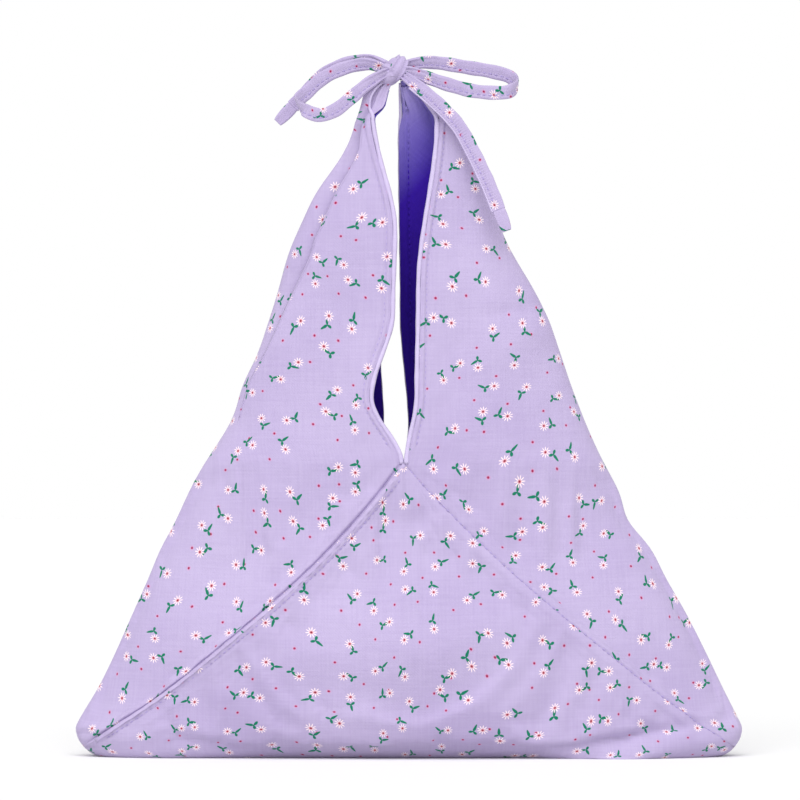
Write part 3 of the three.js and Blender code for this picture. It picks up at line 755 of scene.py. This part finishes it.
# The left panel's side is folded over: a tuck runs from the neck down to the waist
tuckFold = {
    "line": ((165, -87), (174, -84), (180, -80.9), (188.5, -77.3), (236.5, -56.2), (250, -50), (259, -47.4),
             (265.5, -44), (282.5, -35.6), (291.6, -30.6), (299, -27), (312.8, -21.5), (320, -19.5)),
    "under": 2.4, "lift": 0.8, "sink": 2.3, "sinkNeck": 4.0, "fadeFrom": 166, "fadeTo": 196, "sinkFrom": 260,
    "sinkOver": 40, "openFrom": 305, "openOver": 14, "columns": (10, 8, 22, 8, 14, 8, 46, 14),
}
panelGrid = {"rowStep": 2.2, "edge": 9.0, "edgeShare": 0.2, "rim": 0.3, "seamInset": 0.05, "cornerX": 166.0,
             "columns": (10, 8, 47, 47, 8, 10), "foldTurn": (0.647, 0.762)}  # how a row turns at the fold


def sideRows(side, depth):
    folded = depth == 0
    edge = "left" if side < 0 else "right"
    fold = folds[side]
    seamCount = int((bag["footHeight"] - bag["cornerHeight"]) / panelGrid["rowStep"])
    slitCount = int((bag["neckHeight"] - bag["footHeight"]) / panelGrid["rowStep"])
    rows = [("seam", s) for s in 1 - np.linspace(0, 1, seamCount + 1)[1:] ** 1.3]
    rows += [("slit", s) for s in np.linspace(0, 1, slitCount + 1)[1:]]
    points, flats = [], []
    for kind, share in rows:
        inset = panelGrid["seamInset"]
        if kind == "seam":
            height = seamHeight(share)
            frontX = backX = seamX(side, share)
        else:
            height = slitHeight(share)
            frontX, backX = slitX("front_" + edge, share), slitX("back_" + edge, share)
            inset = inset + (bag["rimInset" if folded else "liningInset"] - inset) * min(share * 20, 1)
        fine, arcs = sideArcs(side, frontX, backX, height, inset)
        total = arcs[-1]
        near = min(panelGrid["edge"], total * panelGrid["edgeShare"])
        rim = near * panelGrid["rim"]
        hidden = 0.0
        if side < 0:
            t = tuckFold
            ease = eased(clamp((height - t["fadeFrom"]) / (t["fadeTo"] - t["fadeFrom"])))
            ease = ease * (1 - clamp((height - t["openFrom"]) / t["openOver"]) ** 2)  # open at the neck
            sink = t["sink"] + (t["sinkNeck"] - t["sink"]) * clamp((height - t["sinkFrom"]) / t["sinkOver"])
            lineZ, lineX = np.array(t["line"]).T
            lineAngle = float(frontAngle(np.interp(height, lineZ, lineX), height))
            tuckAt = float(np.clip(np.interp(lineAngle, fine, arcs), near + 1, total * 0.55))
            hidden = t["under"] * ease if folded else 0.0
            end = total + 2 * hidden
            marks = [0, rim, near, max(tuckAt - 4, near + 0.5), tuckAt, tuckAt + max(2 * hidden, 0.5),
                     tuckAt + 2 * hidden + 5, end - near, end]
            column = spreadColumns(np.maximum.accumulate(marks), t["columns"])
        else:
            marks = [0, rim, near, total / 2, total - near, total - rim, total]
            column = spreadColumns(marks, panelGrid["columns"])
        place, lift = column.copy(), np.zeros_like(column)
        if hidden > 0:
            past = column - tuckAt
            zones = [past <= 0, past < hidden, past < 2 * hidden]
            place = np.select(zones, [column, tuckAt - past, tuckAt - 2 * hidden + past], column - 2 * hidden)
            top, bottom = t["lift"] * ease, -sink * ease
            under = top + (bottom - top) * eased(clamp(past / hidden))
            beyond = bottom * np.exp(-(past - 2 * hidden) / 5)
            lift = np.select(zones, [top * np.exp(past / 9), under, under], beyond)
        elif side < 0:  # the lining lies under the tuck and isn't folded with it
            lift = -(sink + 0.6) * ease * hump(column - tuckAt, 6)
        points.append(clothPoint(np.interp(place, arcs, fine), height, depth - lift))
        foldArc = np.interp(fold, fine if side < 0 else fine[::-1], arcs if side < 0 else arcs[::-1])
        flatX = side * frontX + column
        foldX = side * frontX + foldArc + 2 * hidden
        past = np.maximum(flatX - foldX, 0)
        turnX, turnZ = panelGrid["foldTurn"]
        flats.append(stacked(side * (np.minimum(flatX, foldX) + past * turnX), height + past * turnZ, 0.0))
    tip = clothPoint(fold, bag["cornerHeight"] + 0.1, depth)
    tipFlat = np.array([side * panelGrid["cornerX"], bag["cornerHeight"], 0])
    ends = [np.tile(end, (len(column), 1)) for end in (tip, tipFlat)]
    return np.array([ends[0]] + points), np.array([ends[1]] + flats)


def baseRows(depth):
    count = int((bag["footHeight"] - bag["cornerHeight"]) / panelGrid["rowStep"])
    shares = np.linspace(0, 1, count + 1)[1:] ** (1 / 1.25)
    columnShare = spreadColumns([0, 0.12, 0.88, 1], (16, 110, 16))
    foot = np.ones_like(columnShare)
    footAngle = float(frontAngle(bag["footX"], bag["footHeight"]))
    walls = [(foot * footAngle, bag["footHeight"] - 0.05, foot * bag["footX"])]  # angles, height, flat places
    for share in shares:
        height, inset = seamHeight(share), panelGrid["seamInset"]
        left = float(frontAngle(seamX(-1, share), height, -inset)) if share < 1 else math.pi
        right = float(frontAngle(seamX(1, share), height, inset)) if share < 1 else 0.0
        fine, arcs = rowArcs(left, right, height)
        middle = (seamX(-1, share) + seamX(1, share)) / 2
        places = (columnShare - 0.5) * arcs[-1] + middle
        walls.append((np.interp(columnShare * arcs[-1], arcs, fine), height, places))
    cornerTurn = math.acos(1 - bag["cornerHeight"] / bag["baseRoll"])
    angles, _, places = walls[-1]
    for share in np.linspace(1, 0, 9)[1:]:
        walls.append((angles, bag["baseRoll"] * (1 - math.cos(cornerTurn * share)), places))
    front = [clothPoint(angle, height, depth) for angle, height, _ in walls]
    back = [clothPoint(-angle, height, depth) for angle, height, _ in walls][::-1]
    falls = bag["footHeight"] - alongOf(np.array(front)[:, len(columnShare) // 2])
    flatFront = [stacked(wall[2], fall, 0.0) for wall, fall in zip(walls, falls)]
    width = 2 * (bag["bodyDepth"] / 2 - bag["baseTuck"])
    across = np.linspace(0, 1, 22)[1:-1]
    under = [front[-1] * (1 - share) + back[0] * share for share in across]
    flatUnder = [flatFront[-1] - [0, share * width, 0] for share in across]
    flatBack = [row * [1, -1, 0] + [0, 2 * falls[-1] - width, 0] for row in flatFront][::-1]
    return np.array(front + under + back), np.array(flatFront + flatUnder + flatBack)


def thicken(piece, thickness, inner=0):
    solid = piece.modifiers.new("cloth", "SOLIDIFY")
    solid.thickness = thickness * metre
    solid.offset = -1
    solid.material_offset = inner
    solid.material_offset_rim = 0


panelPrint = {"base": (0, 1500), "left": (1200, 0), "right": (2400, 0)}
# Gathered ends of the side panels, drawn from the neck up to the knot. Each station has its middle in X
# and Z, half width, half depth and lean in degrees.
gatheredEnds = {
    "left": {"stations": [(-20.2, 326.2, 4.9, 6.0, 6), (-18.3, 331.6, 4.9, 5, 20), (-14.9, 336.5, 3.7, 4, 38),
                          (-11.2, 340, 2.3, 2.8, 45)],
             "gathers": 6, "depth": 0.6, "closed": 0.4, "crease": 0.6, "creaseAt": 0.22, "pressed": 0.38,
             "edge": ((-18.6, 321.2), (-20.2, 325.2), (-19.7, 330.2), (-17.3, 334.8), (-13.2, 338.6))},
    "right": {"stations": [(-3.2, 340.6, 2.2, 2.8, 40)], "gathers": 11, "depth": 0.85, "closed": 0.0,
              "crease": 0.0, "creaseAt": 0.5, "pressed": 0.6},
}
gatheredShare = np.linspace(0, 1, 120)
gathered = {}
for name, end in gatheredEnds.items():
    side, top = sides[name], float(bag["neckHeight"])
    rims = [slitX(face + name, 1) for face in ("front_", "back_")]
    fine, arcs = sideArcs(side, *rims, top, bag["rimInset"], 400)
    angles = np.interp(gatheredShare * arcs[-1], arcs, fine)
    neck = clothPoint(angles, top)
    middle = (neck[:, 0].min() + neck[:, 0].max()) / 2
    spanX = (neck[:, 0] - middle) / np.ptp(neck[:, 0]) * 2
    spanY = neck[:, 1] / np.abs(neck[:, 1]).max()
    keyRows = [clothPoint(angles, top - 8), neck]
    for x, z, halfWidth, halfDepth, lean in end["stations"]:
        over, up = math.cos(math.radians(lean)), math.sin(math.radians(lean)) * side
        across = halfWidth * (spanX - end["closed"] * spanY)
        keyRows.append(stacked(x + over * across, halfDepth * spanY, z + up * across))
    grid = []
    for column, first in enumerate(neck):
        route = smoothRoute(np.array(keyRows)[:, column], 90)
        above = route[route[:, 2] > first[2] + 0.2]
        grid.append(smoothRoute(np.concatenate([[first], above[2::4]]), 40))
    grid = np.stack(grid, 1)
    above = clamp((grid[..., 2] - top) / 11)
    pressed = end["pressed"] * eased(above) * clamp((0.5 - gatheredShare) / 0.25)
    grid[..., 1] -= np.minimum(grid[..., 1], 0) * pressed  # the front lies back, which leaves room for a loop
    rise = np.linspace(0, 1, grid.shape[0])[:, None]
    outward = unit(np.cross(np.gradient(grid, axis=1), np.gradient(grid, axis=0))) * side
    around = np.linalg.norm(np.diff(grid, axis=1), axis=2).sum(1)[:, None]
    depth = np.minimum(end["depth"], 0.8 * around / end["gathers"] / tau)  # finer as the cloth is drawn in
    ripple = np.sin(gatheredShare * tau * end["gathers"] + 0.7 * np.sin(rise * 4)) * depth
    ripple = ripple * np.sin(clamp(rise * 1.5) * math.pi / 2) ** 1.5
    away = end["creaseAt"] - gatheredShare
    crease = end["crease"] * np.tanh(away / 0.02) * np.exp(-np.abs(away) / 0.12) * clamp(rise * 3)
    rippled = grid + outward * (ripple + crease)[..., None]
    gathered[name] = {"grid": rippled, "plain": grid, "outward": outward, "climbed": alongOf(rippled[:, 60]),
                      "reach": arcs[-1]}


def liningOnward(name, points, flat, depth):  # the lining runs on up inside the gathered end
    end = gathered[name]
    along = alongOf(points[-1])
    shares, topFlat = along / along[-1], flat[-1]
    for row in range(2, 36, 2):
        plain, below = end["plain"][row], depth + 0.8 * gatheredEnds[name]["depth"] * min(row / 26, 1)
        slack = 0.25 + 0.5 * np.abs(plain[:, 1] - plain[:, 1].mean())  # less where the cloth is nearly flat
        sunk = 0.6 * plain + 0.4 * end["grid"][row] - end["outward"][row] * np.minimum(below, slack)[:, None]
        points = np.concatenate([points, [readOff(shares, gatheredShare, sunk)]])
        flat = np.concatenate([flat, [topFlat + [0, end["climbed"][row], 0]]])
    for _ in range(8):  # no crease where the two meet
        points[-28:-8] = (points[-29:-9] + 2 * points[-28:-8] + points[-27:-7]) / 4
    return points, flat


layers = {"outer": (0.0, bag["outerCloth"], printedCotton, "printed_cotton"),
          "lining": (bag["liningDepth"], bag["liningCloth"], liningCotton, "lining_cotton")}
for name in panelPrint:
    for layer, (depth, thick, material, slot) in layers.items():
        points, flat = sideRows(sides[name], depth) if name in sides else baseRows(depth)
        if layer == "outer":
            flat = flat + [*panelPrint[name], 0]
        elif name in gathered:
            points, flat = liningOnward(name, points, flat, depth)
        node = f"{layer}_{name}_panel"
        faces = gridFaces(*points.shape[:2])
        if name != "right":  # so that every panel faces out
            faces = [face[::-1] for face in faces]
        piece = addPiece(node + "_cloth", points, faces, flat, material, "bag", [node], slot, weld=0.002,
                         sheet=True)
        thicken(piece, thick)
print("panels and lining made")

for name, end in gathered.items():
    flatX = panelPrint[name][0] + gatheredShare[None, :] * end["reach"]
    flat = stacked(flatX, bag["neckHeight"] + end["climbed"][:, None], 0.0)
    faces = gridFaces(*end["grid"].shape[:2])
    if name == "left":
        faces = [face[::-1] for face in faces]
    piece = addPiece(name + "_gathered_end", end["grid"], faces, flat, [printedCotton, liningCotton], "bag",
                     [name + "_tie_root"], "printed_cotton", sheet=True)
    thicken(piece, bag["outerCloth"] / 2, inner=1)  # pulled thin
print("gathered ends made")


def slitLine(edge, inset, depth, start=0.0):
    side, face = edgeTurns[edge]
    share = np.linspace(start, 1, 110)
    height = slitHeight(share)
    angle = face * frontAngle(slitX(edge, share), height, -side * inset)
    return clothPoint(angle, height, depth), clothOut(angle, height)


edgePieces = {"left": [], "right": []}
for edge, (side, face) in edgeTurns.items():
    line, _ = slitLine(edge, bag["edgeRoll"], bag["edgeDepth"])
    panel = "left" if side < 0 else "right"
    grid = gathered[panel]["grid"]
    rim, inside = (grid[:, 0], grid[:, 3]) if face > 0 else (grid[:, -1], grid[:, -4])
    drawn = (rim + unit(rim - inside) * np.linspace(1.1, 0.2, len(rim))[:, None])[2::3]
    if edge == "front_left":  # its upper end crosses the gathered cloth
        skin = grid[:, :60].reshape(-1, 3)
        drawn = []
        for x, z in gatheredEnds["left"]["edge"]:
            under = skin[np.argmin(np.hypot(skin[:, 0] - x, skin[:, 2] - z))]
            drawn.append((x, under[1] - 0.5, z))
    line = smoothRoute(np.concatenate([line[:-1:2], drawn]), 170)
    ahead = np.gradient(line, axis=0)
    across = unit(np.cross(np.array([0.3 * side, -face, 0]), ahead))
    along = np.linspace(0, 1, len(line))
    swell = 1 + 0.06 * np.sin(along * 90 + 1) + 0.04 * np.sin(along * 37)
    swell = swell * np.interp(along, (0.85, 0.92), (1, 0.62))  # thinner where it is drawn to the knot
    section = roundSection(bag["edgeRoll"], 14) * swell[:, None, None]
    points, faces, flat = sweep(line, across, unit(np.cross(ahead, across)), section)
    roll = addPiece(edge + "_edge_roll", points, faces, flat + [60, 20, 0], plainCottonAndPaintedHighlight, "bag",
                    [edge + "_edge_binding"], "printed_cotton")
    outer = stitchRow(*slitLine(edge, bag["edgeStitch"], 0.0, start=0.05))
    line, out = slitLine(edge, bag["edgeStitch"], bag["liningDepth"] + bag["liningCloth"], start=0.05)
    points, faces, flat = joined([outer, stitchRow(line, -out)])
    rows = points, faces, flat + [0, bag["footHeight"] + 30, 0]
    stitches = addStitches("", edge + "_edge", rows, material=[sewingThread, liningCotton])
    for polygon in stitches.data.polygons[len(outer[1]):]:  # inside, the thread takes the lining's cloth: its lilac and the painted shade that darkens it deep in the bag
        polygon.material_index = 1
    edgePieces[panel] += [roll, stitches]


def seamLine(side, face, depth, first=0.02, baseward=0.0):
    share = np.linspace(first, 0.97, 130)
    height = seamHeight(share)
    angle = face * frontAngle(seamX(side, share) - side * baseward / bag["seamSlope"], height)
    return clothPoint(angle, height, depth), clothOut(angle, height)


# The base panel's folded edge lies over the panel beside it on one seam of each face
lap = {"past": 0.6, "onBase": 1.3, "thick": 1.0, "fade": 0.5, "lean": 0.5, "depth": 0.1, "sides": 18}
seamPieces = []
for faceName, face in (("front", 1), ("back", -1)):
    lapSide = -face
    seamPieces.append(addStitches("", faceName + "_flat", stitchRow(*seamLine(-lapSide, face, 0.0))))
    line, out = seamLine(lapSide, face, lap["depth"], first=0.0)
    across = unit(np.cross(out, unit(np.gradient(line, axis=0))))
    baseward = -np.sign(across[40, 2])
    turns = turnsOf(lap["sides"])
    halfWidth = (lap["past"] + lap["onBase"]) / 2
    middle = (lap["onBase"] - lap["past"]) / 2
    spread = blunt(np.cos(turns), 0.6)
    inward = (spread + 1) / 2
    lift = lap["thick"] / 2 * np.sin(turns) * (1 - lap["fade"] * inward) - lap["lean"] * inward
    section = stacked(baseward * (middle + halfWidth * spread), lift)
    along = np.linspace(0, 1, len(line))
    swell = 1 + 0.05 * np.sin(along * 120) + 0.04 * np.sin(along * 47 + 2)
    points, faces, flat = sweep(line, across, out, section * swell[:, None, None])
    fold = addPiece(faceName + "_lap_fold", points, faces, flat + [90, 50, 0], printedCotton, "bag",
                    [faceName + "_lap_edge"], "printed_cotton")
    row = stitchRow(*seamLine(lapSide, face, 0.0, baseward=bag["lapStitch"]))
    seamPieces += [fold, addStitches("", faceName + "_lap", row)]
print("edges, laps and stitches made")

# The knot: two firm lobes, each with its place and half sizes, and two turns of tape drawn round them, each
# with its way in X and Z, reach, depth, width and place in X and Z
knot = {"lobes": ((-3.2, -0.3, -3.0, 5.0, 4.5, 4.6), (0.6, 0, 2.4, 4.8, 4.2, 4.4)),
        "turns": ((-0.5, -0.86, 6.2, 4.3, 9.0, 0.5, 0.9), (0.86, -0.5, 6.4, 3.7, 7.4, 0, 0)),
        "tape": 1.4, "creases": 0.5, "rings": 22, "sides": 36, "steps": 72}
theta, phi = np.meshgrid(np.linspace(0, math.pi, knot["rings"]), turnsOf(knot["sides"]), indexing="ij")
knotParts = []
for x, y, z, wide, deep, tall in knot["lobes"]:
    lobe = stacked(wide * np.sin(theta) * np.cos(phi), deep * np.cos(theta),
                   tall * np.sin(theta) * np.sin(phi))
    lobe = lobe * (1 + 0.05 * np.sin(3 * phi + 1) * np.sin(theta) ** 2)[..., None] + knotCentre + [x, y, z]
    place = stacked(phi * 5 + 820, theta * 5 + 15 + 9 * z, 0.0)
    faces = gridFaces(knot["rings"], knot["sides"], ring=True)
    knotParts.append((lobe.reshape(-1, 3), faces, place.reshape(-1, 3)))
for index, (dx, dz, reach, deep, width, x, z) in enumerate(knot["turns"]):
    middle = knotCentre + [x, 0, z]
    way = unit(np.array([dx, 0, dz]))
    level = np.array([-way[2], 0, way[0]])
    turn = turnsOf(knot["steps"])
    path = middle + way * (reach * np.cos(turn))[:, None] + level * (0.7 * np.sin(turn + index))[:, None]
    path[:, 1] -= deep * np.sin(turn)
    ahead = unit(np.roll(path, -1, axis=0) - np.roll(path, 1, axis=0))
    out = unit(path - middle - level * ((path - middle) @ level)[:, None])
    around = turnsOf(knot["sides"])
    crown = knot["tape"] / 2 * np.sin(around) - 0.6 * np.cos(around) ** 2
    crown = crown + knot["creases"] * np.cos(np.cos(around) * 9 + index)
    narrow = 1 - 0.25 * np.abs(np.cos(turn))
    section = stacked(width / 2 * blunt(np.cos(around), 0.7), crown)[None] * stacked(narrow, 1.0)[:, None]
    points, faces, flat = sweep(path, unit(np.cross(ahead, out)), out, section, closed=True)
    knotParts.append((points, faces, flat + [846 + 30 * index, 52, 0]))
knotRows = joined(knotParts)
addPiece("bow_knot_wrap", *knotRows, printedCotton, "bag", ["bow_knot"], "printed_cotton", weld=0.002)
print("knot made")

# Studio: a pale floor, a white surround that is dimmer overhead and one broad soft lamp
studio = {"floor": "#EAEAEA", "surround": 1.0, "overhead": 0.42, "dimming": (0.3, 0.6), "key": 2.75,
          "softness": 60, "from": (-0.08, -0.6, 0.85)}
floorMesh = bpy.data.meshes.new("floor")
floorMesh.from_pydata([(-6, -6, 0), (6, -6, 0), (6, 6, 0), (-6, 6, 0)], [], [(0, 1, 2, 3)])
floorFinish = {"Base Color": linear(studio["floor"]), "Roughness": 0.9}
floorMesh.materials.append(newMaterial("paleFloor", floorFinish)[0])
addObject("floor", floorMesh)
keyData = bpy.data.lights.new("keyLamp", "SUN")
keyData.energy = studio["key"]
keyData.angle = math.radians(studio["softness"])
towardKey = mathutils.Vector(studio["from"])
addObject("keyLamp", keyData).rotation_euler = towardKey.to_track_quat("Z", "Y").to_euler()
world = bpy.data.worlds.new("studioWorld")
world.use_nodes = True
surround = world.node_tree.nodes["Background"]
direction = addNode(world.node_tree, "TexCoord", {})["Generated"]
upward = addNode(world.node_tree, "SeparateXYZ", {0: direction})[2]
low, high = studio["dimming"]
dimming = {0: upward, 1: low, 2: high, 3: studio["surround"], 4: studio["overhead"]}
brightness = addNode(world.node_tree, "MapRange", dimming)[0]
world.node_tree.links.new(brightness, surround.inputs[1])
surround.inputs[0].default_value = (1, 1, 1, 1)
bpy.context.scene.world = world
bpy.context.scene.view_settings.view_transform = "Standard"
print("studio made")
